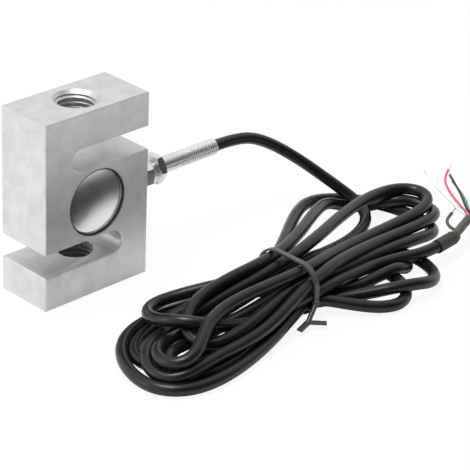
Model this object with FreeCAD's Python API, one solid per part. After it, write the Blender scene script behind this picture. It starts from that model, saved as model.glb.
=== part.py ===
import FreeCAD, Part
import math
import os

# S-type load cell: an S-shaped block with two slots and a sealed gauge bore,
# a cable gland on its right-hand face, and its cable tied up in a hank.
# Millimetres. X runs to the right along the front face, the front faces -Y and
# Z is the load axis. The origin is the middle of the block's bottom face.

V = FreeCAD.Vector

# ---- driving dimensions: block
block_w = 50.8
block_t = 25.4
block_h = 76.2
block_chamfer = 0.4
arm_h = 14.0
slot_h = 9.4
slot_end_x = 12.5
drill_r = 7.0
thread_mouth_r = 9.0

# ---- driving dimensions: gauge bore and its covers
wall_over_recess = 1.1
moat_w = 0.5
ledge_w = 1.1
recess_depth = 1.9
cover_t = 1.0
cover_chamfer = 0.2
cover_offset = 0.25
bead_below_cover_face = 0.15

# ---- driving dimensions: what is bonded inside the bore
gauge_t = 0.3
gauge_w = 8.0
gauge_span = 30.0
gauge_angles = {"upper_right": 55.0, "upper_left": 125.0, "lower_left": 235.0, "lower_right": 305.0}
gauge_lead_r = 0.2
gauge_lead_pitch = 1.44
lead_start_share = 0.3
board_h = 9.0
board_w = 12.0
board_t = 1.0
post_r = 0.5
post_h = 0.8
core_r = 0.5
core_gap = 0.15
core_sag = 1.0
core_sag_step = 0.1
jacket_in_bore = 1.5
bond_gap = 0.05

# ---- driving dimensions: cable gland, on the right-hand face
gland_below_bore = 2.6
cable_r = 2.4
channel_gap = 0.2
gland_thread_r = 4.0
gland_thread_len = 9.0
seal_t = 1.0
seal_r = 5.3
body_hex_af = 11.0
body_hex_len = 9.1
grommet_depth = 1.4
grommet_len = 3.0
sleeve_r = 3.3
neck_len = 3.1
nut_hex_af = 11.2
nut_len = 3.2
groove_len = 1.0
groove_r = 2.9
collar_len = 8.2
collar_r = 3.4
sleeve_thread_len = 21.0
hex_turned_past_corner = 0.5
hex_turned_past_flat = 0.1
fit_gap = 0.05

# ---- driving dimensions: far end of the cable
shrink_r = 2.8
shrink_len = 13.0
shrink_taper = 2.5
shrink_wall = 0.35
tip_sleeve_r = 1.75
tip_sleeve_wall = 0.35
wire_r = 0.5
wire_gap = 0.06
wire_in_sleeve = 3.5
wire_out_straight = 2.0
pigtail_r = 0.65
strand_r = 0.3
bare_len = 4.5

# ---- driving dimensions: tie round the hank
tie_x = 48.0
tie_w = 2.2
tie_t = 0.8
tie_front_y = -82.0
tie_rear_y = -53.0
tie_top_z = 20.6
tie_corner_r = 8.0
tie_knot_z = 7.2
tie_knot_r = 1.5
tie_stem_len = 9.0
tie_stem_r = 1.0
tie_stem_lean = V(-0.78, -0.3, -0.57)
tie_end_len = 7.0
tie_end_leans = (V(-0.95, -0.3, -0.02), V(0.73, -0.69, -0.02))

# ---- bends of every swept route: the share of a run that its arc may take
arc_share = 0.45

# ---- heights and places that follow from the sizes above
half_w = block_w / 2
half_t = block_t / 2
slot_r = slot_h / 2
bore_z = block_h / 2
middle_h = block_h - 2 * (arm_h + slot_h)
recess_r = middle_h / 2 - wall_over_recess
cover_r = recess_r - moat_w
bore_r = cover_r - ledge_w
gland_z = bore_z - gland_below_bore
hex_start = half_w + seal_t
hex_end = hex_start + body_hex_len
grommet_start = hex_start + grommet_depth
sleeve_start = grommet_start + grommet_len
nut_start = hex_end + neck_len
groove_start = nut_start + nut_len
collar_start = groove_start + groove_len
collar_end = collar_start + collar_len
exit_x = collar_end + sleeve_thread_len
board_x = -math.sqrt(bore_r ** 2 - (board_h / 2) ** 2)
root_x = bore_r - jacket_in_bore

# ---- routes, chosen by hand
lead_straight = 13.0
lead_route = [
    V(exit_x, 0, gland_z), V(exit_x + lead_straight, 0, gland_z), V(97, -2, 32.5), V(110, -9, 23.5),
    V(120.5, -22, 12.5), V(126.5, -31, 5.6),
]
tail_route = [V(88, -75.5, 7.0), V(100, -78.4, 7.2), V(112, -82.47, 7.49), V(124, -81.45, 7.73)]
shrink_a = V(117.5, -82, 7.6)
shrink_dir = V(1, 0.085, 0.02)
tip_end = V(141.5, -77.6, 10.6)
wire_routes = {
    "red": [V(144.2, -70.5, 13.0), V(148.4, -60.5, 14.8), V(153.4, -53.6, 16.4), V(159.4, -50.8, 17.2)],
    "black": [V(145.6, -72.4, 12.6), V(150.6, -66.2, 13.4), V(155.2, -59.0, 14.3), V(159.8, -51.6, 15.0)],
    "green": [V(147.0, -73.4, 11.0), V(152.4, -66.6, 11.8), V(156.2, -60.2, 12.3), V(159.6, -53.4, 12.8)],
    "white": [V(143.1, -71.2, 11.3), V(145.4, -62.6, 13.6), V(147.4, -54.0, 15.0), V(151.0, -47.0, 15.6)],
}
pigtail_route = [V(133.2, -79.6, 8.4), V(134.0, -74.4, 8.0), V(136.6, -70.2, 8.6), V(141.4, -69.0, 10.0)]
hank_outline = [
    V(-37, -72), V(-33, -57), V(-20, -44.5), V(-3, -35), V(15, -34), V(32, -41), V(48, -52),
    V(62, -42), V(78, -20), V(98, -3), V(118, 2), V(135, -4), V(147, -22), V(151, -44),
    V(146, -60), V(133, -71.5), V(119, -77), V(111, -85), V(104, -96), V(86, -101), V(66, -95),
    V(48, -85), V(30, -90), V(8, -97), V(-14, -99), V(-30, -92),
]
hank_heights = [
    V(-38, 0, 7), V(-20, 0, 10), V(5, 0, 15), V(28, 0, 20), V(48, 0, 21),
    V(70, 0, 20), V(95, 0, 17), V(120, 0, 14), V(152, 0, 12),
]


def cylinder_x(x0, x1, radius, z=gland_z, y=0.0):
    return Part.makeCylinder(radius, x1 - x0, V(x0, y, z), V(1, 0, 0))


def cylinder_y(y0, y1, radius, x=0.0, z=bore_z):
    return Part.makeCylinder(radius, y1 - y0, V(x, y0, z), V(0, 1, 0))


def hex_bar(x0, x1, across_flats, flat_to_front):
    """A hexagonal bar on the gland's axis, its corners turned off at 30 degrees."""
    turn = 30.0 if flat_to_front else 0.0
    corner = across_flats / 2 / math.cos(math.pi / 6)
    points = []
    for k in range(7):
        angle = math.radians(60 * k + turn)
        points.append(V(x0, corner * math.cos(angle), gland_z + corner * math.sin(angle)))
    bar = Part.Face(Part.makePolygon(points)).extrude(V(x1 - x0, 0, 0))
    rim = across_flats / 2 + hex_turned_past_flat
    stock = corner + hex_turned_past_corner
    depth = (stock - rim) * math.tan(math.pi / 6)
    turned = Part.makeCone(rim, stock, depth, V(x0, 0, gland_z), V(1, 0, 0))
    middle = cylinder_x(x0 + depth, x1 - depth, stock)
    far = Part.makeCone(stock, rim, depth, V(x1 - depth, 0, gland_z), V(1, 0, 0))
    return bar.common(turned.fuse([middle, far]).removeSplitter())


def tube_path(points):
    """Straight runs joined by tangent arcs, each as large as its two runs allow."""
    edges = []
    here = points[0]
    for before, corner, after in zip(points, points[1:], points[2:]):
        incoming = (corner - before).normalize()
        outgoing = (after - corner).normalize()
        setback = arc_share * min((corner - before).Length, (after - corner).Length)
        half_turn = incoming.getAngle(outgoing) / 2
        radius = setback / math.tan(half_turn)
        start = corner - incoming * setback
        end = corner + outgoing * setback
        inward = (outgoing - incoming).normalize()
        middle = corner + inward * (math.hypot(radius, setback) - radius)
        edges.append(Part.LineSegment(here, start).toShape())
        edges.append(Part.Arc(start, middle, end).toShape())
        here = end
    edges.append(Part.LineSegment(here, points[-1]).toShape())
    return Part.Wire(edges)


def tube(points, radius):
    """A round cord swept along its route."""
    direction = points[1] - points[0]
    section = Part.Wire(Part.makeCircle(radius, points[0], direction))
    return tube_path(points).makePipeShell([section], True, False)


def s_profile():
    """The S: two arms joined to the middle by round-ended slots cut from opposite sides."""
    top = block_h
    upper = block_h - arm_h
    centre = slot_end_x - slot_r
    turn_top = V(-slot_end_x, 0, upper - slot_r)
    turn_bottom = V(slot_end_x, 0, arm_h + slot_r)

    def line(x0, z0, x1, z1):
        return Part.LineSegment(V(x0, 0, z0), V(x1, 0, z1)).toShape()

    edges = [
        line(-half_w, 0, half_w, 0),
        line(half_w, 0, half_w, upper - slot_h),
        line(half_w, upper - slot_h, -centre, upper - slot_h),
        Part.Arc(V(-centre, 0, upper - slot_h), turn_top, V(-centre, 0, upper)).toShape(),
        line(-centre, upper, half_w, upper),
        line(half_w, upper, half_w, top),
        line(half_w, top, -half_w, top),
        line(-half_w, top, -half_w, arm_h + slot_h),
        line(-half_w, arm_h + slot_h, centre, arm_h + slot_h),
        Part.Arc(V(centre, 0, arm_h + slot_h), turn_bottom, V(centre, 0, arm_h)).toShape(),
        line(centre, arm_h, -half_w, arm_h),
        line(-half_w, arm_h, -half_w, 0),
    ]
    return Part.Wire(edges)


def s_beam_body():
    face = Part.Face(s_profile())
    face.translate(V(0, -half_t, 0))
    block = face.extrude(V(0, block_t, 0))
    block = block.makeChamfer(block_chamfer, block.Edges)
    mouth_depth = thread_mouth_r - drill_r
    cuts = [
        cylinder_y(-half_t, half_t, bore_r),
        cylinder_y(-half_t, -half_t + recess_depth, recess_r),
        cylinder_y(half_t - recess_depth, half_t, recess_r),
        Part.makeCylinder(drill_r, arm_h, V(0, 0, 0)),
        Part.makeCylinder(drill_r, arm_h, V(0, 0, block_h - arm_h)),
        Part.makeCone(thread_mouth_r, drill_r, mouth_depth, V(0, 0, 0)),
        Part.makeCone(drill_r, thread_mouth_r, mouth_depth, V(0, 0, block_h - mouth_depth)),
        cylinder_x(0, half_w, cable_r + channel_gap),
        cylinder_x(half_w - gland_thread_len, half_w, gland_thread_r),
    ]
    return block.cut(cuts)


def cover_disc(side):
    """A thin disc seated on the ledge round the bore. side is -1 in front, 1 behind."""
    seat = side * (half_t - recess_depth)
    face = seat + side * cover_t
    low, high = sorted((seat, face))
    disc = cylinder_y(low, high, cover_r, side * cover_offset, bore_z + cover_offset)
    rim = [e for e in disc.Edges if isinstance(e.Curve, Part.Circle) and abs(e.Curve.Center.y - face) < 1e-6]
    return disc.makeChamfer(cover_chamfer, rim)


def sealant_bead(side, disc):
    """Sealant that fills the moat between a cover and the wall of its recess."""
    seat = side * (half_t - recess_depth)
    face = seat + side * (cover_t - bead_below_cover_face)
    low, high = sorted((seat, face))
    ring = cylinder_y(low, high, recess_r)
    return ring.cut(disc)


def strain_gauge(angle):
    """A foil gauge bonded to the bore's wall, centred on the given angle."""
    inner = bore_r - gauge_t
    start = V(0, -gauge_w / 2, bore_z)
    shell = Part.makeCylinder(bore_r, gauge_w, start, V(0, 1, 0))
    shell = shell.cut(Part.makeCylinder(inner, gauge_w, start, V(0, 1, 0)))
    reach = bore_r / math.cos(math.radians(gauge_span / 2)) + gauge_t
    edge = []
    for side in (-0.5, 0.5):
        a = math.radians(angle + side * gauge_span)
        edge.append(V(reach * math.cos(a), -gauge_w / 2, bore_z + reach * math.sin(a)))
    wedge = Part.Face(Part.makePolygon([start, edge[0], edge[1], start])).extrude(V(0, gauge_w, 0))
    return shell.common(wedge)


def bridge_board():
    """The terminal board, across the bore's left side, its edges on the wall."""
    half = board_h / 2 - bond_gap
    low = V(board_x + bond_gap, -board_w / 2, bore_z - half)
    return Part.makeBox(board_t, board_w, 2 * half, low)


def board_bond():
    """The pad of bonding compound between the board's back and the bore's wall."""
    wall = cylinder_y(-board_w / 2, board_w / 2, bore_r - bond_gap)
    reach = bore_r * 2
    corner = V(board_x + bond_gap - reach, -board_w / 2, bore_z - reach / 2)
    keep = Part.makeBox(reach, board_w, reach, corner)
    return wall.common(keep)


def post_places():
    """Two rows of four posts, spread evenly over the board."""
    for z_step in (-0.25, 0.25):
        for y_step in (-0.375, -0.125, 0.125, 0.375):
            yield V(board_x + bond_gap + board_t, board_w * y_step, bore_z + board_h * z_step)


def board_posts():
    return [Part.makeCylinder(post_r, post_h, place, V(1, 0, 0)) for place in post_places()]


def arc_wire(start, middle, end, radius):
    path = Part.Wire(Part.Arc(start, middle, end).toShape())
    tangent = path.Edges[0].tangentAt(path.Edges[0].FirstParameter)
    section = Part.Wire(Part.makeCircle(radius, start, tangent))
    return path.makePipeShell([section], True, False)


def gauge_leads():
    """A pair of fine leads from each gauge, laid along the wall to the board's edge."""
    lift = gauge_t + 2 * gauge_lead_r
    path_r = bore_r - lift
    board_edge = 180 - math.degrees(math.asin((board_h / 2 + 2 * gauge_lead_r) / path_r))
    leads = []
    for name, angle in gauge_angles.items():
        upper = angle < 180
        near_left = 90 < angle < 270
        stop = board_edge if upper else 360 - board_edge
        begin = angle + gauge_span * (lead_start_share if upper else -lead_start_share)
        row = 1 if near_left else 2
        for side in (-1, 1):
            y = side * gauge_lead_pitch * row
            spots = []
            for turn in (begin, (begin + stop) / 2, stop):
                a = math.radians(turn)
                spots.append(V(path_r * math.cos(a), y, bore_z + path_r * math.sin(a)))
            leads.append(arc_wire(*spots, gauge_lead_r))
    return leads


def inner_cores():
    """The four cores that cross the bore from the cable's end to the board's lower posts."""
    cores = []
    lower_posts = list(post_places())[:4]
    for k, post in enumerate(lower_posts):
        y = (k - 1.5) * (2 * core_r + bond_gap)
        start = V(root_x - core_gap, y, gland_z)
        end = post + V(post_h + core_gap, 0, 0)
        sag = V(0, 0, -core_sag - core_sag_step * k)
        cores.append(arc_wire(start, (start + end) * 0.5 + sag, end, core_r))
    return cores


def cable_root():
    """The jacketed cable inside the block and the gland."""
    return cylinder_x(root_x, exit_x, cable_r)


def gland_seal():
    return cylinder_x(half_w, hex_start, seal_r).cut(cylinder_x(half_w, hex_start, gland_thread_r + fit_gap))


def gland_body():
    """Threaded stub, hexagon and a bore that takes the grommet and the sleeve."""
    stub = cylinder_x(half_w - gland_thread_len, hex_start, gland_thread_r - fit_gap)
    body = stub.fuse(hex_bar(hex_start, hex_end, body_hex_af, True))
    body = body.cut(cylinder_x(half_w - gland_thread_len, hex_end, cable_r + channel_gap))
    return body.cut(cylinder_x(grommet_start, hex_end, sleeve_r + fit_gap)).removeSplitter()


def cable_grommet():
    ring = cylinder_x(grommet_start, sleeve_start, sleeve_r)
    return ring.cut(cylinder_x(grommet_start, sleeve_start, cable_r + fit_gap))


def lock_nut():
    return hex_bar(nut_start, groove_start, nut_hex_af, False).cut(
        cylinder_x(nut_start, groove_start, sleeve_r + fit_gap))


def threaded_sleeve():
    """The long tube that grips the cable: thread, relief groove, smooth collar, fine thread."""
    pieces = [
        cylinder_x(sleeve_start, groove_start, sleeve_r),
        cylinder_x(groove_start, collar_start, groove_r),
        cylinder_x(collar_start, collar_end, collar_r),
        cylinder_x(collar_end, exit_x, sleeve_r),
    ]
    sleeve = pieces[0].fuse(pieces[1:]).cut(cylinder_x(sleeve_start, exit_x, cable_r + fit_gap))
    return sleeve.removeSplitter()


def tie_loop():
    """The tie's loop: a rounded outline round the hank's waist, as [outer, inner] solids."""
    loops = []
    for grow in (tie_t, 0.0):
        y0, y1 = tie_front_y - grow, tie_rear_y + grow
        z1 = tie_top_z + grow
        z0 = tie_t - grow
        corner = tie_corner_r + grow
        block = Part.makeBox(tie_w, y1 - y0, z1 - z0, V(tie_x - tie_w / 2, y0, z0))
        along = [e for e in block.Edges if e.Length < tie_w * 1.01 and abs(e.tangentAt(0).x) > 0.9]
        loops.append(block.makeFillet(corner, along))
    return loops


def twist_tie(loops):
    """Flat tie: the loop round the hank, a twisted stem at the front and two splayed ends."""
    band = loops[0].cut(loops[1])
    stem_at = V(tie_x, tie_front_y - tie_t / 2, tie_knot_z)
    down = V(tie_stem_lean).normalize()
    stem = Part.makeCylinder(tie_stem_r, tie_stem_len, stem_at, down)
    knuckle = Part.makeSphere(tie_knot_r, stem_at)
    ends = []
    for lean in tie_end_leans:
        strip = Part.makeBox(tie_end_len, tie_w, tie_t, V(0, -tie_w / 2, -tie_t / 2))
        turn = FreeCAD.Rotation(V(1, 0, 0), lean)
        strip.Placement = FreeCAD.Placement(stem_at + down * (tie_stem_len - tie_stem_r / 2), turn)
        ends.append(strip)
    return band.fuse([stem, knuckle] + ends).removeSplitter()


def cable_hank(loops, tie):
    """The tied-up turns as one closed solid: their outline in plan under their height."""
    plan = Part.BSplineCurve()
    plan.interpolate(hank_outline, PeriodicFlag=True)
    tall = 2 * tie_top_z
    near_y = 2 * min(p.y for p in hank_outline)
    mass = Part.Face(Part.Wire(plan.toShape())).extrude(V(0, 0, tall))
    crest = Part.BSplineCurve()
    crest.interpolate(hank_heights)
    first, last = hank_heights[0], hank_heights[-1]
    side = Part.Wire([
        crest.toShape(),
        Part.LineSegment(last, V(last.x, 0, 0)).toShape(),
        Part.LineSegment(V(last.x, 0, 0), V(first.x, 0, 0)).toShape(),
        Part.LineSegment(V(first.x, 0, 0), first).toShape(),
    ])
    under = Part.Face(side)
    under.translate(V(0, near_y, 0))
    hank = mass.common(under.extrude(V(0, -2 * near_y, 0)))
    waist = Part.makeBox(tie_w, -near_y, 2 * tall, V(tie_x - tie_w / 2, near_y, -tall))
    return hank.cut([waist.cut(loops[1]), tie])


def heat_shrink():
    """The large sleeve over the end of the jacket, shrunk down onto the tip sleeve."""
    axis = V(shrink_dir).normalize()
    outer = Part.makeCylinder(shrink_r, shrink_len - shrink_taper, shrink_a, axis)
    cone_at = shrink_a + axis * (shrink_len - shrink_taper)
    small = tip_sleeve_r + shrink_wall
    outer = outer.fuse(Part.makeCone(shrink_r, small, shrink_taper, cone_at, axis))
    inner = Part.makeCylinder(shrink_r - shrink_wall, shrink_len - shrink_taper, shrink_a, axis)
    inner = inner.fuse(Part.makeCone(shrink_r - shrink_wall, tip_sleeve_r, shrink_taper, cone_at, axis))
    return outer.cut([inner, sleeve_bar(tip_sleeve_r + fit_gap)])


def tip_root():
    """Where the tip sleeve starts: at the foot of the large sleeve's taper."""
    return shrink_a + V(shrink_dir).normalize() * (shrink_len - shrink_taper)


def sleeve_axis():
    return (tip_end - tip_root()).normalize()


def sleeve_bar(radius):
    """A solid bar of the given radius along the whole tip sleeve."""
    return Part.makeCylinder(radius, (tip_end - tip_root()).Length, tip_root(), sleeve_axis())


def tip_sleeve():
    """The small sleeve over the bundled cores."""
    return sleeve_bar(tip_sleeve_r).cut(sleeve_bar(tip_sleeve_r - tip_sleeve_wall))


def tip_cores():
    """The cores bundled inside the tip sleeve, from the jacket's end to where they part."""
    bundle_r = tip_sleeve_r - tip_sleeve_wall - fit_gap
    length = (tip_end - tip_root()).Length - wire_in_sleeve
    return Part.makeCylinder(bundle_r, length, tip_root(), sleeve_axis())


def wire_route(colour):
    """From inside the tip sleeve, side by side in a square, then out along its own route."""
    axis = sleeve_axis()
    across = axis.cross(V(0, 0, 1)).normalize()
    above = across.cross(axis)
    corner = {"red": (1, 1), "black": (-1, 1), "green": (-1, -1), "white": (1, -1)}[colour]
    step = wire_r + wire_gap / 2
    lane = across * (-corner[0] * step) + above * (corner[1] * step)
    inside = tip_end - axis * wire_in_sleeve + lane
    mouth = tip_end + axis * wire_out_straight + lane
    return [inside, mouth] + wire_routes[colour]


def bare_end(route, length):
    """The stripped strands at the end of a wire, face to face with its insulation."""
    end = route[-1]
    return Part.makeCylinder(strand_r, length, end, end - route[-2])


def shield_pigtail():
    """The sleeved shield, folded back out of the joint between the two sleeves."""
    return tube(pigtail_route, pigtail_r).cut(sleeve_bar(tip_sleeve_r + fit_gap))


def save(name, shape):
    """Write one node, its solids kept apart."""
    solids = shape if isinstance(shape, list) else shape.Solids
    for solid in solids:
        if not solid.isValid():
            print("NOT VALID", name)
    whole = Part.makeCompound(solids) if len(solids) > 1 else solids[0]
    whole.exportStep(os.path.join("parts", name + ".step"))
    print(name, len(solids), round(sum(s.Volume for s in solids), 2))


os.makedirs("parts", exist_ok=True)

save("s_beam_body", s_beam_body())
for side, place in ((-1, "front"), (1, "rear")):
    disc = cover_disc(side)
    save(place + "_cover_disc", disc)
    save(place + "_sealant_bead", sealant_bead(side, disc))
for name, angle in gauge_angles.items():
    save("strain_gauge_" + name, strain_gauge(angle))
save("gauge_leads", gauge_leads())
save("bridge_board", bridge_board())
save("board_bond", board_bond())
save("board_posts", board_posts())
save("inner_cores", inner_cores())
save("cable_root", cable_root())
save("gland_seal", gland_seal())
save("gland_body", gland_body())
save("cable_grommet", cable_grommet())
save("lock_nut", lock_nut())
save("threaded_sleeve", threaded_sleeve())

loops = tie_loop()
tie = twist_tie(loops)
hank = cable_hank(loops, tie)
save("twist_tie", tie)
save("cable_hank", hank)
save("cable_lead", tube(lead_route, cable_r).cut(hank))
save("cable_tail", tube(tail_route, cable_r).cut(hank))
save("heat_shrink_sleeve", heat_shrink())
save("tip_sleeve", tip_sleeve())
save("tip_cores", tip_cores())
for colour in wire_routes:
    route = wire_route(colour)
    save("wire_" + colour, tube(route, wire_r))
    save("bare_end_" + colour, bare_end(route, bare_len))
save("shield_pigtail", shield_pigtail())
save("shield_strand", bare_end(pigtail_route, bare_len))
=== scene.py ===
import bpy
import math
import numpy as np
from mathutils import Matrix, Vector


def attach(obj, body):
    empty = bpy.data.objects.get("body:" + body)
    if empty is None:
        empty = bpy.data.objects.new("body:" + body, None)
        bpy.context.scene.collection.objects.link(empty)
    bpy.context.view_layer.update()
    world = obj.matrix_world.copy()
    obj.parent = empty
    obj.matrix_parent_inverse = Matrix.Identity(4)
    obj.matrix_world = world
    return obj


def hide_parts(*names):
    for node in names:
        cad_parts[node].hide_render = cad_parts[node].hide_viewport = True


# S-type load cell with its cable tied in a hank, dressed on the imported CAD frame.
# Metres; the front face looks along -Y, the cable leaves the +X face, Z is up.
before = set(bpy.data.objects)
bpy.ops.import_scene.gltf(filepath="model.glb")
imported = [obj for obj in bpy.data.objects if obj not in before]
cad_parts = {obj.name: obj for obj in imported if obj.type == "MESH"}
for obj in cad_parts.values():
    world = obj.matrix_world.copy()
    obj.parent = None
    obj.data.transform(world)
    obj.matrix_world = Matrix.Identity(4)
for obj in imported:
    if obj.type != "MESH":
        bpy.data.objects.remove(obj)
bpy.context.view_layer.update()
scene = bpy.context.scene
scene.view_settings.view_transform = "Standard"

# ---- camera
# A long lens on a full-frame sensor, high at the front left, so that the front, the left face and
# the top all show. It is turned by its own axes, because it stands two degrees off level.
camera_data = bpy.data.cameras.new("camera")
camera_data.sensor_width = 36.0
camera_data.lens = 165.7
camera = bpy.data.objects.new("camera", camera_data)
scene.collection.objects.link(camera)
camera_right = Vector((0.715478, -0.697586, 0.038283))
camera_up = Vector((0.292801, 0.349162, 0.890142))
camera_back = camera_right.cross(camera_up)
camera_place = (-0.480485, -0.559542, 0.396918)
turn = Matrix((camera_right, camera_up, camera_back)).transposed()
camera.matrix_world = Matrix.Translation(camera_place) @ turn.to_4x4()
scene.camera = camera

# ---- studio
# A white tent with a dark opening in front, so that metal shows light and dark faces. The camera
# itself sees plain white behind the object.
world = bpy.data.worlds.new("studio")
scene.world = world
world.use_nodes = True
nodes = world.node_tree.nodes
links = world.node_tree.links
background = nodes["Background"]
background.inputs["Color"].default_value = (1.0, 1.0, 1.0, 1.0)
where = nodes.new("ShaderNodeTexCoord")
axes = nodes.new("ShaderNodeSeparateXYZ")
links.new(where.outputs["Generated"], axes.inputs["Vector"])
frontal = nodes.new("ShaderNodeMapRange")
frontal.inputs["From Min"].default_value = -0.70
frontal.inputs["From Max"].default_value = -0.10
frontal.inputs["To Min"].default_value = 0.02
frontal.inputs["To Max"].default_value = 1.0
links.new(axes.outputs["Y"], frontal.inputs["Value"])
light_path = nodes.new("ShaderNodeLightPath")
seen = nodes.new("ShaderNodeMix")
seen.inputs["B"].default_value = 1.0
links.new(light_path.outputs["Is Camera Ray"], seen.inputs["Factor"])
links.new(frontal.outputs["Result"], seen.inputs["A"])
links.new(seen.outputs["Result"], background.inputs["Strength"])

# A large soft lamp overhead, and a lower one at the back left that lifts the block's left face.
for name, place, aim, size, power in (
        ("overhead_lamp", (-0.25, -0.05, 1.10), (0.03, -0.03, 0.03), 0.5, 8.0),
        ("left_lamp", (-0.80, 0.42, 0.30), (0.0, 0.0, 0.04), 0.5, 1.2)):
    lamp_data = bpy.data.lights.new(name, "AREA")
    lamp_data.shape = "DISK"
    lamp_data.size = size
    lamp_data.energy = power
    lamp = bpy.data.objects.new(name, lamp_data)
    scene.collection.objects.link(lamp)
    lamp.location = place
    lamp.rotation_euler = (Vector(aim) - Vector(place)).to_track_quat("-Z", "Y").to_euler()

# ---- floor
# A plain white paper sweep that the object lies on. It takes the object's soft shadow, and the
# camera sees it nearly white, because a glow is mixed in for camera rays alone.
floor_size = 4.0
floor_drop = 0.0002
bpy.ops.mesh.primitive_plane_add(size=floor_size, location=(0.0, 0.0, -floor_drop))
floor = bpy.context.object
floor.name = "floor"
floor_paint = bpy.data.materials.new("floor_paint")
floor_paint.use_nodes = True
nodes = floor_paint.node_tree.nodes
links = floor_paint.node_tree.links
shader = nodes["Principled BSDF"]
shader.inputs["Base Color"].default_value = (0.86, 0.86, 0.86, 1.0)
shader.inputs["Roughness"].default_value = 0.9
shader.inputs["Specular IOR Level"].default_value = 0.1
glow = nodes.new("ShaderNodeEmission")
glow.inputs["Color"].default_value = (1.0, 1.0, 1.0, 1.0)
light_path = nodes.new("ShaderNodeLightPath")
share = nodes.new("ShaderNodeMath")
share.operation = "MULTIPLY"
share.inputs[1].default_value = 0.9
links.new(light_path.outputs["Is Camera Ray"], share.inputs[0])
mixed = nodes.new("ShaderNodeMixShader")
links.new(share.outputs["Value"], mixed.inputs["Fac"])
links.new(shader.outputs["BSDF"], mixed.inputs[1])
links.new(glow.outputs["Emission"], mixed.inputs[2])
links.new(mixed.outputs["Shader"], nodes["Material Output"].inputs["Surface"])
floor.data.materials.append(floor_paint)

# ---- S-beam body
# The S-shaped block: nickel-plated steel with a fine bead-blasted finish, milled from one billet.
# A helical cutter makes the tapped M16 x 2 holes in the top and the bottom face.
thread_pitch = 0.002
thread_root = 0.0081
thread_crest = 0.0068
groove_mouth = 0.0018
root_low = 0.0007
root_high = 0.0011
thread_turns = 8
weld_distance = 0.000001
hard_crease = math.radians(30.0)
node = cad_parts["s_beam_body"]
mesh = node.data.copy()
mesh.transform(node.matrix_world)
block = bpy.data.objects.new("beam_block", mesh)
scene.collection.objects.link(block)
bpy.ops.object.select_all(action="DESELECT")
block.select_set(True)
bpy.context.view_layer.objects.active = block
bpy.ops.object.mode_set(mode="EDIT")
bpy.ops.mesh.select_all(action="SELECT")
bpy.ops.mesh.remove_doubles(threshold=weld_distance)
bpy.ops.object.mode_set(mode="OBJECT")
bpy.ops.mesh.customdata_custom_splitnormals_clear()
for name, start in (("upper_thread", 0.0612), ("lower_thread", -0.0022)):
    bpy.ops.mesh.primitive_circle_add(vertices=4, radius=thread_crest)
    cutter = bpy.context.object
    cutter.name = name
    profile = ((thread_root, start + root_low), (thread_root, start + root_high),
               (thread_crest, start + groove_mouth), (thread_crest, start))
    for corner, (radius, height) in zip(cutter.data.vertices, profile):
        corner.co = (radius, 0.0, height)
    screw = cutter.modifiers.new("screw", "SCREW")
    screw.screw_offset = thread_pitch
    screw.iterations = thread_turns
    screw.steps = 48
    screw.use_merge_vertices = False
    bpy.ops.object.modifier_apply(modifier="screw")
    bpy.ops.object.mode_set(mode="EDIT")
    bpy.ops.mesh.select_all(action="SELECT")
    bpy.ops.mesh.fill_holes(sides=4)
    bpy.ops.mesh.select_all(action="SELECT")
    bpy.ops.mesh.normals_make_consistent(inside=False)
    bpy.ops.object.mode_set(mode="OBJECT")
    bpy.ops.object.select_all(action="DESELECT")
    block.select_set(True)
    bpy.context.view_layer.objects.active = block
    cut = block.modifiers.new(name, "BOOLEAN")
    cut.operation = "DIFFERENCE"
    cut.solver = "EXACT"
    cut.object = cutter
    bpy.ops.object.modifier_apply(modifier=name)
    bpy.data.objects.remove(cutter)
block.data.shade_smooth()
block.data.set_sharp_from_angle(angle=hard_crease)
plated_steel = bpy.data.materials.new("plated_steel")
plated_steel.use_nodes = True
nodes = plated_steel.node_tree.nodes
links = plated_steel.node_tree.links
shader = nodes["Principled BSDF"]
shader.inputs["Metallic"].default_value = 1.0
where = nodes.new("ShaderNodeTexCoord")
mottle = nodes.new("ShaderNodeTexNoise")
mottle.inputs["Scale"].default_value = 130.0
mottle.inputs["Detail"].default_value = 6.0
mottle.inputs["Roughness"].default_value = 0.7
links.new(where.outputs["Object"], mottle.inputs["Vector"])
tone = nodes.new("ShaderNodeValToRGB")
tone.color_ramp.elements[0].position = 0.30
tone.color_ramp.elements[0].color = (0.56, 0.56, 0.555, 1.0)
tone.color_ramp.elements[1].position = 0.70
tone.color_ramp.elements[1].color = (0.70, 0.70, 0.695, 1.0)
links.new(mottle.outputs["Fac"], tone.inputs["Fac"])
links.new(tone.outputs["Color"], shader.inputs["Base Color"])
grain = nodes.new("ShaderNodeTexNoise")
grain.inputs["Scale"].default_value = 2600.0
grain.inputs["Detail"].default_value = 3.0
links.new(where.outputs["Object"], grain.inputs["Vector"])
rough = nodes.new("ShaderNodeMapRange")
rough.inputs["To Min"].default_value = 0.40
rough.inputs["To Max"].default_value = 0.54
links.new(grain.outputs["Fac"], rough.inputs["Value"])
links.new(rough.outputs["Result"], shader.inputs["Roughness"])
bump = nodes.new("ShaderNodeBump")
bump.inputs["Strength"].default_value = 0.25
bump.inputs["Distance"].default_value = 0.00003
links.new(grain.outputs["Fac"], bump.inputs["Height"])
links.new(bump.outputs["Normal"], shader.inputs["Normal"])
block.data.materials.clear()
block.data.materials.append(plated_steel)
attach(block, "root")
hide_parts("s_beam_body")

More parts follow.
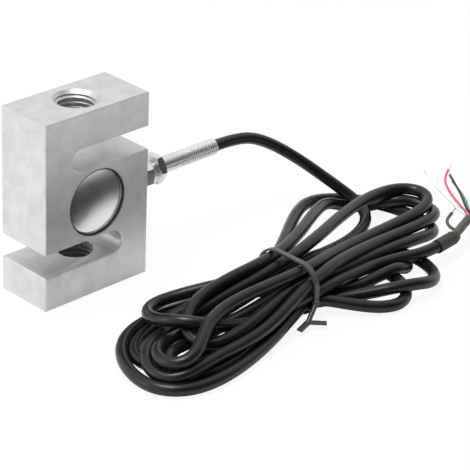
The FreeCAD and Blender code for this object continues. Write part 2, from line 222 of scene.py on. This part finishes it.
# ---- strain gauges
# Four foil gauges on amber polyimide film, which feel how the block's thin walls stretch. Each is
# bonded to the wall of the bore, two above its middle and two below.
gauge_film = bpy.data.materials.new("gauge_film")
gauge_film.use_nodes = True
shader = gauge_film.node_tree.nodes["Principled BSDF"]
shader.inputs["Base Color"].default_value = (0.55, 0.32, 0.10, 1.0)
shader.inputs["Roughness"].default_value = 0.35
for name in ("strain_gauge_upper_right", "strain_gauge_upper_left", "strain_gauge_lower_left",
             "strain_gauge_lower_right"):
    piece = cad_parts[name]
    piece.data.materials.clear()
    piece.data.materials.append(gauge_film)

# ---- bridge board and its bond
# The terminal board, cut from green glass-fibre laminate, where the gauge leads meet the cable's
# cores. A pad of cream compound, cured in place, bonds it across the bore.
circuit_board = bpy.data.materials.new("circuit_board")
circuit_board.use_nodes = True
shader = circuit_board.node_tree.nodes["Principled BSDF"]
shader.inputs["Base Color"].default_value = (0.05, 0.22, 0.09, 1.0)
shader.inputs["Roughness"].default_value = 0.4
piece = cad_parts["bridge_board"]
piece.data.materials.clear()
piece.data.materials.append(circuit_board)
bond_compound = bpy.data.materials.new("bond_compound")
bond_compound.use_nodes = True
shader = bond_compound.node_tree.nodes["Principled BSDF"]
shader.inputs["Base Color"].default_value = (0.75, 0.73, 0.68, 1.0)
shader.inputs["Roughness"].default_value = 0.6
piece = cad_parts["board_bond"]
piece.data.materials.clear()
piece.data.materials.append(bond_compound)

# ---- tinned copper
# All that solder has to wet: the posts pressed into the board, the leads of the gauges, and the
# stripped strands at the ends of the wires and of the shield. It is copper with a coat of tin.
soft_crease = math.radians(35.0)
tinned_metal = bpy.data.materials.new("tinned_metal")
tinned_metal.use_nodes = True
shader = tinned_metal.node_tree.nodes["Principled BSDF"]
shader.inputs["Base Color"].default_value = (0.78, 0.76, 0.72, 1.0)
shader.inputs["Metallic"].default_value = 1.0
shader.inputs["Roughness"].default_value = 0.3
for name in ("board_posts", "gauge_leads", "bare_end_red", "bare_end_black", "bare_end_green",
             "bare_end_white", "shield_strand"):
    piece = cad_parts[name]
    piece.data.materials.clear()
    piece.data.materials.append(tinned_metal)
    piece.data.shade_smooth()
    piece.data.set_sharp_from_angle(angle=soft_crease)

# ---- cores
# The cores of the cable in their PVC insulation, soldered to the board at one end and bundled in
# the tip sleeve at the other. They are out of sight, so one dull red stands for all four.
core_insulation = bpy.data.materials.new("core_insulation")
core_insulation.use_nodes = True
shader = core_insulation.node_tree.nodes["Principled BSDF"]
shader.inputs["Base Color"].default_value = (0.35, 0.05, 0.04, 1.0)
shader.inputs["Roughness"].default_value = 0.45
for name in ("inner_cores", "tip_cores"):
    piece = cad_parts[name]
    piece.data.materials.clear()
    piece.data.materials.append(core_insulation)
    piece.data.shade_smooth()
    piece.data.set_sharp_from_angle(angle=soft_crease)

# ---- cover discs
# Thin stainless discs with a satin mirror finish that close the bore, front and rear, on their
# ledges. The pressing is a little domed, which the material's normal carries.
dome_centre = (0.0, 0.0, 0.0425)
dome_slope = (8.0, 0.0, 8.0)
cover_steel = bpy.data.materials.new("cover_steel")
cover_steel.use_nodes = True
nodes = cover_steel.node_tree.nodes
links = cover_steel.node_tree.links
shader = nodes["Principled BSDF"]
shader.inputs["Base Color"].default_value = (0.76, 0.76, 0.755, 1.0)
shader.inputs["Metallic"].default_value = 1.0
where = nodes.new("ShaderNodeTexCoord")
haze = nodes.new("ShaderNodeTexNoise")
haze.inputs["Scale"].default_value = 900.0
haze.inputs["Detail"].default_value = 2.0
links.new(where.outputs["Object"], haze.inputs["Vector"])
rough = nodes.new("ShaderNodeMapRange")
rough.inputs["To Min"].default_value = 0.17
rough.inputs["To Max"].default_value = 0.25
links.new(haze.outputs["Fac"], rough.inputs["Value"])
links.new(rough.outputs["Result"], shader.inputs["Roughness"])
geometry = nodes.new("ShaderNodeNewGeometry")
from_middle = nodes.new("ShaderNodeVectorMath")
from_middle.operation = "SUBTRACT"
from_middle.inputs[1].default_value = dome_centre
links.new(where.outputs["Object"], from_middle.inputs[0])
dome = nodes.new("ShaderNodeVectorMath")
dome.operation = "MULTIPLY_ADD"
dome.inputs[1].default_value = dome_slope
links.new(from_middle.outputs["Vector"], dome.inputs[0])
links.new(geometry.outputs["Normal"], dome.inputs[2])
domed = nodes.new("ShaderNodeVectorMath")
domed.operation = "NORMALIZE"
links.new(dome.outputs["Vector"], domed.inputs[0])
links.new(domed.outputs["Vector"], shader.inputs["Normal"])
for name in ("front_cover_disc", "rear_cover_disc"):
    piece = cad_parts[name]
    piece.data.materials.clear()
    piece.data.materials.append(cover_steel)
    piece.data.shade_smooth()
    piece.data.set_sharp_from_angle(angle=soft_crease)

# ---- sealant beads
# Black silicone round each cover disc. In front a flattened black ring, set off centre, thickest at
# the lower right and trimmed by the recess wall, is partly sealant and partly painted shade of that wall.
recess_radius = 0.01355
recess_centre = (0.0, -0.01255, 0.0381)
bead_radius = 0.01315
bead_thickness = 0.00022
bead_flattening = 0.3
sealant_and_shade_centre = (-0.0001, -0.01255, 0.0382)
bead_crease = math.radians(50.0)
quarter_turn = math.radians(90.0)
# The front ring is wider than the sealant alone: the rest is painted shade of the recess wall.
bpy.ops.mesh.primitive_torus_add(major_radius=bead_radius, minor_radius=bead_thickness, major_segments=96,
                                 minor_segments=12, location=sealant_and_shade_centre,
                                 rotation=(quarter_turn, 0.0, 0.0))
bead = bpy.context.object
bead.name = "front_sealant"
bpy.ops.transform.resize(value=(1.0, bead_flattening, 1.0))
bpy.ops.object.transform_apply(location=True, rotation=True, scale=True)
bpy.ops.mesh.primitive_cylinder_add(radius=recess_radius, depth=0.004, vertices=128,
                                    location=recess_centre, rotation=(quarter_turn, 0.0, 0.0))
trimmer = bpy.context.object
bpy.ops.object.select_all(action="DESELECT")
bead.select_set(True)
bpy.context.view_layer.objects.active = bead
trim = bead.modifiers.new("trim", "BOOLEAN")
trim.operation = "INTERSECT"
trim.solver = "EXACT"
trim.object = trimmer
bpy.ops.object.modifier_apply(modifier="trim")
bpy.data.objects.remove(trimmer)
bead.data.shade_smooth()
bead.data.set_sharp_from_angle(angle=bead_crease)
black_sealant = bpy.data.materials.new("black_sealant")
black_sealant.use_nodes = True
shader = black_sealant.node_tree.nodes["Principled BSDF"]
shader.inputs["Base Color"].default_value = (0.010, 0.010, 0.010, 1.0)
shader.inputs["Roughness"].default_value = 0.45
bead.data.materials.clear()
bead.data.materials.append(black_sealant)
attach(bead, "root")
for name in ("front_sealant_bead", "rear_sealant_bead"):
    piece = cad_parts[name]
    piece.data.materials.clear()
    piece.data.materials.append(black_sealant)
    piece.data.shade_smooth()
    piece.data.set_sharp_from_angle(angle=soft_crease)

# ---- gland rubber
# Moulded black rubber: the sealing washer that the gland presses against the block, and the
# grommet that the gland squeezes onto the cable as it is screwed home.
gland_rubber = bpy.data.materials.new("gland_rubber")
gland_rubber.use_nodes = True
shader = gland_rubber.node_tree.nodes["Principled BSDF"]
shader.inputs["Base Color"].default_value = (0.02, 0.02, 0.02, 1.0)
shader.inputs["Roughness"].default_value = 0.6
for name in ("gland_seal", "cable_grommet"):
    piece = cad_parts[name]
    piece.data.materials.clear()
    piece.data.materials.append(gland_rubber)
    piece.data.shade_smooth()
    piece.data.set_sharp_from_angle(angle=soft_crease)

# ---- gland body and lock nut
# Hexagons milled from turned bar, nickel plated and bright. The gland body screws into the block's
# side, and the lock nut sits behind it on the sleeve.
gland_metal = bpy.data.materials.new("gland_metal")
gland_metal.use_nodes = True
nodes = gland_metal.node_tree.nodes
links = gland_metal.node_tree.links
shader = nodes["Principled BSDF"]
shader.inputs["Base Color"].default_value = (0.70, 0.70, 0.69, 1.0)
shader.inputs["Metallic"].default_value = 1.0
where = nodes.new("ShaderNodeTexCoord")
turned = nodes.new("ShaderNodeTexNoise")
turned.inputs["Scale"].default_value = 1500.0
turned.inputs["Detail"].default_value = 2.0
links.new(where.outputs["Object"], turned.inputs["Vector"])
rough = nodes.new("ShaderNodeMapRange")
rough.inputs["To Min"].default_value = 0.16
rough.inputs["To Max"].default_value = 0.28
links.new(turned.outputs["Fac"], rough.inputs["Value"])
links.new(rough.outputs["Result"], shader.inputs["Roughness"])
for name in ("gland_body", "lock_nut"):
    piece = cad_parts[name]
    piece.data.materials.clear()
    piece.data.materials.append(gland_metal)
    piece.data.shade_smooth()
    piece.data.set_sharp_from_angle(angle=hard_crease)

# ---- threaded sleeve
# The long bright sleeve that the cable comes out of, with a fine thread rolled along it. A helical
# cutter makes the thread between the collar and the mouth.
fine_pitch = 0.001
groove_outside = 0.0036
groove_bottom = 0.00287
groove_width = 0.00095
groove_middle = 0.00048
sleeve_axis_z = 0.0355
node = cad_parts["threaded_sleeve"]
mesh = node.data.copy()
mesh.transform(node.matrix_world)
sleeve = bpy.data.objects.new("rolled_sleeve", mesh)
scene.collection.objects.link(sleeve)
bpy.ops.object.select_all(action="DESELECT")
sleeve.select_set(True)
bpy.context.view_layer.objects.active = sleeve
bpy.ops.object.mode_set(mode="EDIT")
bpy.ops.mesh.select_all(action="SELECT")
bpy.ops.mesh.remove_doubles(threshold=weld_distance)
bpy.ops.object.mode_set(mode="OBJECT")
bpy.ops.mesh.customdata_custom_splitnormals_clear()
for name, start, turns in (("sleeve_thread", 0.0515, 20), ("neck_thread", 0.0351, 4)):
    bpy.ops.mesh.primitive_circle_add(vertices=3, radius=groove_outside)
    cutter = bpy.context.object
    cutter.name = name
    profile = ((groove_bottom, groove_middle), (groove_outside, groove_width), (groove_outside, 0.0))
    for corner, (radius, height) in zip(cutter.data.vertices, profile):
        corner.co = (radius, 0.0, height)
    screw = cutter.modifiers.new("screw", "SCREW")
    screw.screw_offset = fine_pitch
    screw.iterations = turns
    screw.steps = 40
    screw.use_merge_vertices = False
    bpy.ops.object.modifier_apply(modifier="screw")
    bpy.ops.object.mode_set(mode="EDIT")
    bpy.ops.mesh.select_all(action="SELECT")
    bpy.ops.mesh.fill_holes(sides=3)
    bpy.ops.mesh.select_all(action="SELECT")
    bpy.ops.mesh.normals_make_consistent(inside=False)
    bpy.ops.object.mode_set(mode="OBJECT")
    cutter.rotation_euler = (0.0, quarter_turn, 0.0)
    cutter.location = (start, 0.0, sleeve_axis_z)
    bpy.ops.object.transform_apply(location=True, rotation=True, scale=True)
    bpy.ops.object.select_all(action="DESELECT")
    sleeve.select_set(True)
    bpy.context.view_layer.objects.active = sleeve
    cut = sleeve.modifiers.new(name, "BOOLEAN")
    cut.operation = "DIFFERENCE"
    cut.solver = "EXACT"
    cut.object = cutter
    bpy.ops.object.modifier_apply(modifier=name)
    bpy.data.objects.remove(cutter)
sleeve.data.shade_smooth()
sleeve.data.set_sharp_from_angle(angle=hard_crease)
rolled_metal = gland_metal.copy()
rolled_metal.name = "rolled_metal"
spread_rough = rolled_metal.node_tree.nodes["Map Range"]
spread_rough.inputs["To Min"].default_value = 0.30
spread_rough.inputs["To Max"].default_value = 0.42
sleeve.data.materials.clear()
sleeve.data.materials.append(rolled_metal)
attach(sleeve, "root")
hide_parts("threaded_sleeve")

# ---- cable
# Black PVC cable, 4.8 mm: it leaves the sleeve in a free arch, is wound into a loose hank and
# comes out of it towards its stripped end. One spline, with the turns of the hank given one by one.
cable_diameter = 0.0048
lead = [
    (0.072, 0, 0.0355), (0.085, 0, 0.0355), (0.097, -0.002, 0.0325), (0.110, -0.009, 0.0235),
    (0.1205, -0.022, 0.0125), (0.1265, -0.031, 0.0056),
]
tail = [
    (0.088, -0.0755, 0.007), (0.1, -0.0784, 0.0072), (0.112, -0.08247, 0.00749),
    (0.124, -0.08145, 0.00773),
]
entry = [
    (0.1242, -0.038, 0.0028), (0.116, -0.044, 0.0024), (0.1072, -0.0474, 0.0024),
    (0.0968, -0.0501, 0.0024), (0.088, -0.0512, 0.0034), (0.068, -0.054, 0.0065),
]
left_loop_1 = [
    (0.048, -0.0556, 0.0081), (0.034, -0.053, 0.004), (0.018, -0.047, 0.0028), (0.004, -0.044, 0.0024),
    (-0.009, -0.045, 0.0024), (-0.0184, -0.0495, 0.0024), (-0.0261, -0.0573, 0.0024),
    (-0.0318, -0.0664, 0.0024), (-0.0342, -0.0751, 0.0024), (-0.0332, -0.0827, 0.0024),
    (-0.0288, -0.089, 0.0024), (-0.0214, -0.0929, 0.0024), (-0.011, -0.0932, 0.0024),
    (0.0015, -0.0905, 0.0024), (0.0181, -0.0866, 0.0026), (0.0323, -0.0835, 0.0028),
    (0.048, -0.0762, 0.0032),
]
right_loop_1 = [
    (0.0535, -0.0835, 0.0026), (0.0605, -0.09, 0.0024), (0.0692, -0.0968, 0.0024),
    (0.078, -0.0993, 0.0024), (0.086, -0.0955, 0.0024), (0.0925, -0.087, 0.0024),
    (0.0955, -0.077, 0.0024), (0.092, -0.067, 0.0024), (0.083, -0.0615, 0.0024),
    (0.066, -0.0605, 0.0028),
]
left_loop_2 = [
    (0.048, -0.0608, 0.0032), (0.036, -0.06, 0.008), (0.0275, -0.0586, 0.01), (0.0142, -0.0548, 0.0085),
    (0.005, -0.0525, 0.005), (-0.004, -0.051, 0.0028), (-0.013, -0.0515, 0.0024),
    (-0.0215, -0.0555, 0.0024), (-0.0265, -0.0625, 0.0024), (-0.0262, -0.0705, 0.0024),
    (-0.0205, -0.0762, 0.0024), (-0.011, -0.0775, 0.0024), (0.006, -0.0745, 0.0024),
    (0.028, -0.0735, 0.0028), (0.048, -0.0711, 0.0032),
]
right_loop_2 = [
    (0.0621, -0.0806, 0.003), (0.073, -0.0885, 0.0045), (0.0815, -0.0938, 0.0068),
    (0.089, -0.0968, 0.0068), (0.0965, -0.0972, 0.0044), (0.104, -0.0938, 0.0028),
    (0.1095, -0.087, 0.0024), (0.1115, -0.0785, 0.0024), (0.1095, -0.0705, 0.0024),
    (0.1025, -0.0645, 0.0024), (0.0915, -0.061, 0.0024), (0.08, -0.0595, 0.0026), (0.068, -0.06, 0.003),
]
left_loop_3 = [
    (0.048, -0.0659, 0.0032), (0.032, -0.0665, 0.003), (0.014, -0.0665, 0.0044), (0.002, -0.07, 0.0066),
    (-0.006, -0.0688, 0.0078), (-0.0155, -0.069, 0.0075), (-0.0235, -0.0735, 0.0072),
    (-0.0268, -0.0805, 0.005), (-0.0235, -0.0875, 0.0026), (-0.0145, -0.0898, 0.0024),
    (-0.003, -0.0885, 0.0024), (0.0098, -0.0856, 0.0028), (0.0229, -0.0835, 0.004),
    (0.035, -0.08, 0.0046), (0.048, -0.0762, 0.0081),
]
right_loop_3 = [
    (0.06, -0.0775, 0.005), (0.0663, -0.0784, 0.0036), (0.076, -0.0802, 0.0026),
    (0.0849, -0.0804, 0.0026), (0.0935, -0.0802, 0.0026), (0.101, -0.0792, 0.0026),
    (0.108, -0.0752, 0.0024), (0.1095, -0.068, 0.0024), (0.103, -0.0615, 0.0024),
    (0.09, -0.0605, 0.005), (0.076, -0.0595, 0.007), (0.062, -0.0585, 0.008),
]
left_loop_4 = [
    (0.048, -0.0608, 0.0081), (0.033, -0.062, 0.008), (0.02, -0.0625, 0.008), (0.005, -0.0645, 0.0076),
    (-0.008, -0.067, 0.0075), (-0.016, -0.068, 0.0075), (-0.0228, -0.0705, 0.0073),
    (-0.0262, -0.0762, 0.0076), (-0.0272, -0.0825, 0.0084), (-0.0235, -0.0878, 0.0092),
    (-0.0165, -0.0878, 0.0112), (-0.0112, -0.083, 0.0142), (-0.0052, -0.0771, 0.0162),
    (0.0047, -0.0748, 0.0172), (0.0165, -0.0744, 0.018), (0.0294, -0.0757, 0.0183),
    (0.048, -0.0762, 0.0179),
]
right_loop_4 = [
    (0.0587, -0.0729, 0.0165), (0.0671, -0.0694, 0.015), (0.0786, -0.0663, 0.013),
    (0.0999, -0.0627, 0.0108), (0.1163, -0.0608, 0.0102), (0.129, -0.0598, 0.0098),
    (0.1385, -0.0585, 0.0096), (0.1448, -0.0542, 0.0096), (0.1462, -0.0468, 0.0096),
    (0.1405, -0.0404, 0.0098), (0.1295, -0.0388, 0.0105), (0.1141, -0.0412, 0.0125),
    (0.0964, -0.0475, 0.0145), (0.0744, -0.0585, 0.017),
]
left_loop_5 = [
    (0.048, -0.0659, 0.0179), (0.038, -0.0625, 0.015), (0.024, -0.0605, 0.012), (0.01, -0.0615, 0.0105),
    (-0.004, -0.0635, 0.007), (-0.016, -0.0655, 0.0058), (-0.025, -0.0695, 0.0048),
    (-0.03, -0.076, 0.0028), (-0.0295, -0.0825, 0.0026), (-0.024, -0.0862, 0.0036),
    (-0.017, -0.0863, 0.0055), (-0.0099, -0.085, 0.0068), (0.0017, -0.0853, 0.0074),
    (0.0146, -0.085, 0.0084), (0.0278, -0.0842, 0.0102), (0.0385, -0.0825, 0.0122),
    (0.048, -0.0814, 0.013),
]
right_loop_5 = [
    (0.0605, -0.0748, 0.014), (0.0748, -0.0702, 0.012), (0.0956, -0.0668, 0.01),
    (0.1101, -0.0655, 0.009), (0.1275, -0.0648, 0.0072), (0.1365, -0.0642, 0.0058),
    (0.1434, -0.06, 0.005), (0.1462, -0.0522, 0.0054), (0.143, -0.0448, 0.007),
    (0.1365, -0.0415, 0.0074), (0.1315, -0.0385, 0.005), (0.1293, -0.0325, 0.0026),
    (0.1255, -0.0275, 0.0024), (0.119, -0.0262, 0.0044), (0.112, -0.0275, 0.0088),
    (0.1047, -0.0303, 0.011), (0.0907, -0.0377, 0.013), (0.0749, -0.0477, 0.015),
]
left_loop_6 = [
    (0.048, -0.0608, 0.0179), (0.038, -0.061, 0.017), (0.027, -0.058, 0.0145), (0.014, -0.058, 0.012),
    (0.005, -0.0605, 0.0105), (-0.0035, -0.0635, 0.0092), (-0.0088, -0.07, 0.008),
    (-0.0085, -0.078, 0.0072), (-0.002, -0.0832, 0.007), (0.009, -0.083, 0.007),
    (0.023, -0.08, 0.008), (0.036, -0.077, 0.0105), (0.048, -0.0711, 0.013),
]
right_loop_6 = [
    (0.0561, -0.0787, 0.0115), (0.0691, -0.0755, 0.01), (0.0845, -0.0725, 0.0085),
    (0.1036, -0.0703, 0.0075), (0.12, -0.07, 0.0066), (0.1298, -0.0698, 0.005),
    (0.1365, -0.0655, 0.003), (0.1388, -0.0575, 0.0024), (0.1382, -0.0475, 0.0024),
    (0.1358, -0.0365, 0.0024), (0.1305, -0.0265, 0.0024), (0.122, -0.0215, 0.0038), (0.112, -0.0208, 0.0065),
    (0.1054, -0.0223, 0.0085), (0.0953, -0.0266, 0.01), (0.0831, -0.0341, 0.0115),
    (0.07, -0.0432, 0.013),
]
left_loop_7 = [
    (0.048, -0.0556, 0.013), (0.039, -0.0595, 0.0145), (0.0311, -0.058, 0.013),
    (0.0232, -0.0542, 0.012), (0.0148, -0.0504, 0.0105), (0.0084, -0.0467, 0.009),
    (0.002, -0.0438, 0.008), (-0.004, -0.0448, 0.008), (-0.0105, -0.0523, 0.0094),
    (-0.0121, -0.0613, 0.0113), (-0.0085, -0.0674, 0.0123), (-0.003, -0.0729, 0.012),
    (0.0034, -0.079, 0.0106), (0.0151, -0.0802, 0.0092), (0.0285, -0.078, 0.0085),
    (0.039, -0.0788, 0.0084), (0.048, -0.0814, 0.0081),
]
last_pass = [(0.062, -0.077, 0.0076), (0.075, -0.0756, 0.007)]
route = []
for stretch in (entry, left_loop_1, right_loop_1, left_loop_2, right_loop_2, left_loop_3, right_loop_3,
                left_loop_4, right_loop_4, left_loop_5, right_loop_5, left_loop_6, right_loop_6,
                left_loop_7, last_pass):
    route += stretch
hand = np.array(lead + route + tail)

# The cord's own curve at three places in each span, as shares of the listed points round it.
span_places = (1 / 6, 1 / 2, 5 / 6)
bend_reach = 0.022
inner = np.arange(1, len(hand) - 1)
shares = np.zeros((len(inner), len(span_places), len(hand)))
for which, t in enumerate(span_places):
    shares[inner - 1, which, inner - 1] = (1 - t) ** 2 / 2
    shares[inner - 1, which, inner] = 1 / 2 + t * (1 - t)
    shares[inner - 1, which, inner + 1] = t**2 / 2
shares = shares.reshape(-1, len(hand))
steps = np.linalg.norm(np.diff(shares @ hand, axis=0), axis=1)
along = np.concatenate([[0], np.cumsum(steps)])
same_bend = np.abs(along[:, None] - along[None, :]) < bend_reach

# The turns push each other apart until they lie a diameter apart, on the floor and inside the tie.
# Each point is also eased towards its neighbours and drawn back a little to where it was listed,
# and the free arch and the tail end keep their place.
clearance = 0.0049
push_share = 0.2
ease_share = 0.06
return_share = 0.025
settling_rounds = 300
tiny = 1e-9
waist_x = 0.048
waist_width = 0.006
waist_centre = np.array([-0.0675, 0.0107])
waist_half = np.array([0.0065, 0.0019])
waist_corner = 0.0056
waist_share = 0.6
waist_least = 0.3
behind_waist = -0.03
settled = hand.copy()
free = np.ones((len(hand), 1))
free[:len(lead)] = 0
free[-len(tail):] = 0
for _ in range(settling_rounds):
    curve = shares @ settled
    apart = curve[:, None, :] - curve[None, :, :]
    distance = np.linalg.norm(apart, axis=2)
    push = np.clip(clearance - distance, 0, None)
    push[same_bend] = 0
    shove = (apart / np.maximum(distance, tiny)[..., None] * push[..., None]).sum(axis=1) * push_share
    near = np.exp(-((curve[:, 0] - waist_x) / waist_width) ** 2)
    near[(near < waist_least) | (curve[:, 1] > behind_waist)] = 0
    held = curve[:, 1:] - waist_centre
    outside = held - np.clip(held, -waist_half, waist_half)
    length = np.linalg.norm(outside, axis=1)
    over = np.clip(length - waist_corner, 0, None)
    shove[:, 1:] -= outside / np.maximum(length, tiny)[:, None] * (over * near)[:, None] * waist_share
    kink = np.zeros_like(settled)
    kink[1:-1] = (settled[2:] + settled[:-2]) / 2 - settled[1:-1]
    ease = np.zeros_like(settled)
    ease[2:-2] = kink[2:-2] - (kink[3:-1] + kink[1:-3]) / 2
    settled = settled + free * (shares.T @ shove + ease_share * ease + return_share * (hand - settled))
    settled[:, 2] = np.maximum(settled[:, 2], cable_diameter / 2)

cable_curve = bpy.data.curves.new("cable", "CURVE")
cable_curve.dimensions = "3D"
spline = cable_curve.splines.new("NURBS")
spline.points.add(len(settled) - 1)
for point, place in zip(spline.points, settled):
    point.co = (*place, 1.0)
spline.order_u = 3
spline.use_endpoint_u = True
spline.resolution_u = 9
cable_curve.bevel_depth = cable_diameter / 2
cable_curve.bevel_resolution = 5
cable_curve.use_fill_caps = True
cable = bpy.data.objects.new("cable", cable_curve)
scene.collection.objects.link(cable)
cable_jacket = bpy.data.materials.new("cable_jacket")
cable_jacket.use_nodes = True
nodes = cable_jacket.node_tree.nodes
links = cable_jacket.node_tree.links
shader = nodes["Principled BSDF"]
shader.inputs["Base Color"].default_value = (0.008, 0.008, 0.0084, 1.0)
shader.inputs["Specular IOR Level"].default_value = 0.38
where = nodes.new("ShaderNodeTexCoord")
skin = nodes.new("ShaderNodeTexNoise")
skin.inputs["Scale"].default_value = 700.0
skin.inputs["Detail"].default_value = 4.0
links.new(where.outputs["Object"], skin.inputs["Vector"])
rough = nodes.new("ShaderNodeMapRange")
rough.inputs["To Min"].default_value = 0.24
rough.inputs["To Max"].default_value = 0.38
links.new(skin.outputs["Fac"], rough.inputs["Value"])
links.new(rough.outputs["Result"], shader.inputs["Roughness"])
bump = nodes.new("ShaderNodeBump")
bump.inputs["Strength"].default_value = 0.3
bump.inputs["Distance"].default_value = 0.00005
links.new(skin.outputs["Fac"], bump.inputs["Height"])
links.new(bump.outputs["Normal"], shader.inputs["Normal"])
cable_curve.materials.append(cable_jacket)
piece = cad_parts["cable_root"]
piece.data.materials.clear()
piece.data.materials.append(cable_jacket)
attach(cable, "root")
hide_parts("cable_hank", "cable_lead", "cable_tail")

# ---- twist tie
# A flat wire tie with a dark grey plastic coat. It goes once round the waist of the hank, and its
# two ends are twisted together in front.
tie_plastic = bpy.data.materials.new("tie_plastic")
tie_plastic.use_nodes = True
shader = tie_plastic.node_tree.nodes["Principled BSDF"]
shader.inputs["Base Color"].default_value = (0.06, 0.06, 0.061, 1.0)
shader.inputs["Roughness"].default_value = 0.35
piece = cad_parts["twist_tie"]
piece.data.materials.clear()
piece.data.materials.append(tie_plastic)
piece.data.shade_smooth()
piece.data.set_sharp_from_angle(angle=soft_crease)

# ---- heat-shrink sleeve
# A tube of matt dark polyolefin, slipped over the end of the jacket and shrunk with hot air down
# onto the tip sleeve, which leaves it faintly wrinkled.
shrink_tube = bpy.data.materials.new("shrink_tube")
shrink_tube.use_nodes = True
nodes = shrink_tube.node_tree.nodes
links = shrink_tube.node_tree.links
shader = nodes["Principled BSDF"]
shader.inputs["Base Color"].default_value = (0.030, 0.029, 0.028, 1.0)
shader.inputs["Roughness"].default_value = 0.6
where = nodes.new("ShaderNodeTexCoord")
wrinkle = nodes.new("ShaderNodeTexNoise")
wrinkle.inputs["Scale"].default_value = 450.0
wrinkle.inputs["Detail"].default_value = 3.0
links.new(where.outputs["Object"], wrinkle.inputs["Vector"])
bump = nodes.new("ShaderNodeBump")
bump.inputs["Strength"].default_value = 0.5
bump.inputs["Distance"].default_value = 0.0002
links.new(wrinkle.outputs["Fac"], bump.inputs["Height"])
links.new(bump.outputs["Normal"], shader.inputs["Normal"])
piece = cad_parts["heat_shrink_sleeve"]
piece.data.materials.clear()
piece.data.materials.append(shrink_tube)
piece.data.shade_smooth()
piece.data.set_sharp_from_angle(angle=soft_crease)

# ---- tip sleeve and shield pigtail
# Thin grey-brown tubing. The wider length gathers the four cores as they leave the jacket, and the
# narrow one covers the shield where it branches off.
tip_tube = bpy.data.materials.new("tip_tube")
tip_tube.use_nodes = True
nodes = tip_tube.node_tree.nodes
links = tip_tube.node_tree.links
shader = nodes["Principled BSDF"]
shader.inputs["Base Color"].default_value = (0.085, 0.078, 0.070, 1.0)
shader.inputs["Roughness"].default_value = 0.5
where = nodes.new("ShaderNodeTexCoord")
wrinkle = nodes.new("ShaderNodeTexNoise")
wrinkle.inputs["Scale"].default_value = 800.0
wrinkle.inputs["Detail"].default_value = 3.0
links.new(where.outputs["Object"], wrinkle.inputs["Vector"])
bump = nodes.new("ShaderNodeBump")
bump.inputs["Strength"].default_value = 0.4
bump.inputs["Distance"].default_value = 0.0001
links.new(wrinkle.outputs["Fac"], bump.inputs["Height"])
links.new(bump.outputs["Normal"], shader.inputs["Normal"])
for name in ("tip_sleeve", "shield_pigtail"):
    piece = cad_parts[name]
    piece.data.materials.clear()
    piece.data.materials.append(tip_tube)
    piece.data.shade_smooth()
    piece.data.set_sharp_from_angle(angle=soft_crease)

# ---- wires
# The four cores where they come into sight: stranded wires, 1 mm thick, in red, black, green and
# white insulation. They fan out of the tip sleeve, and each is stripped at its end.
wire_radius = 0.0005
for name, colour, way_out, real_length, route in (
        ("red", (0.80, 0.07, 0.16, 1.0), (0.1413, -0.0771, 0.0111), 0.037,
         [(0.1379, -0.078, 0.0104), (0.1432, -0.0766, 0.0115), (0.1442, -0.0705, 0.013),
          (0.1484, -0.0605, 0.0148), (0.1534, -0.0536, 0.0164), (0.1594, -0.0508, 0.0172)]),
        ("black", (0.02, 0.02, 0.02, 1.0), (0.1415, -0.0781, 0.0111), 0.036,
         [(0.1382, -0.079, 0.0104), (0.1434, -0.0777, 0.0115), (0.1456, -0.0724, 0.0126),
          (0.1506, -0.0662, 0.0134), (0.1552, -0.059, 0.0143), (0.1598, -0.0516, 0.015)]),
        ("green", (0.05, 0.35, 0.28, 1.0), (0.1417, -0.0781, 0.0101), 0.0345,
         [(0.1384, -0.079, 0.0094), (0.1436, -0.0776, 0.0105), (0.147, -0.0734, 0.011),
          (0.1524, -0.0666, 0.0118), (0.1562, -0.0602, 0.0123), (0.1596, -0.0534, 0.0128)]),
        ("white", (0.95, 0.95, 0.94, 1.0), (0.1415, -0.0771, 0.0101), 0.036,
         [(0.1381, -0.0779, 0.0094), (0.1434, -0.0766, 0.0105), (0.1431, -0.0712, 0.0113),
          (0.1454, -0.0626, 0.0136), (0.1474, -0.054, 0.015), (0.151, -0.047, 0.0156)])):
    wire_curve = bpy.data.curves.new("insulation_" + name, "CURVE")
    wire_curve.dimensions = "3D"
    spline = wire_curve.splines.new("NURBS")
    spline.points.add(len(route) - 1)
    for point, place in zip(spline.points, route):
        point.co = (*place, 1.0)
    spline.order_u = 3
    spline.use_endpoint_u = True
    spline.resolution_u = 12
    wire_curve.bevel_depth = wire_radius
    wire_curve.bevel_resolution = 4
    wire_curve.use_fill_caps = True
    wire = bpy.data.objects.new("insulation_" + name, wire_curve)
    scene.collection.objects.link(wire)
    insulation = bpy.data.materials.new("wire_" + name)
    insulation.use_nodes = True
    shader = insulation.node_tree.nodes["Principled BSDF"]
    shader.inputs["Base Color"].default_value = colour
    shader.inputs["Roughness"].default_value = 0.4
    wire_curve.materials.append(insulation)
    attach(wire, "root")
    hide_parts("wire_" + name)
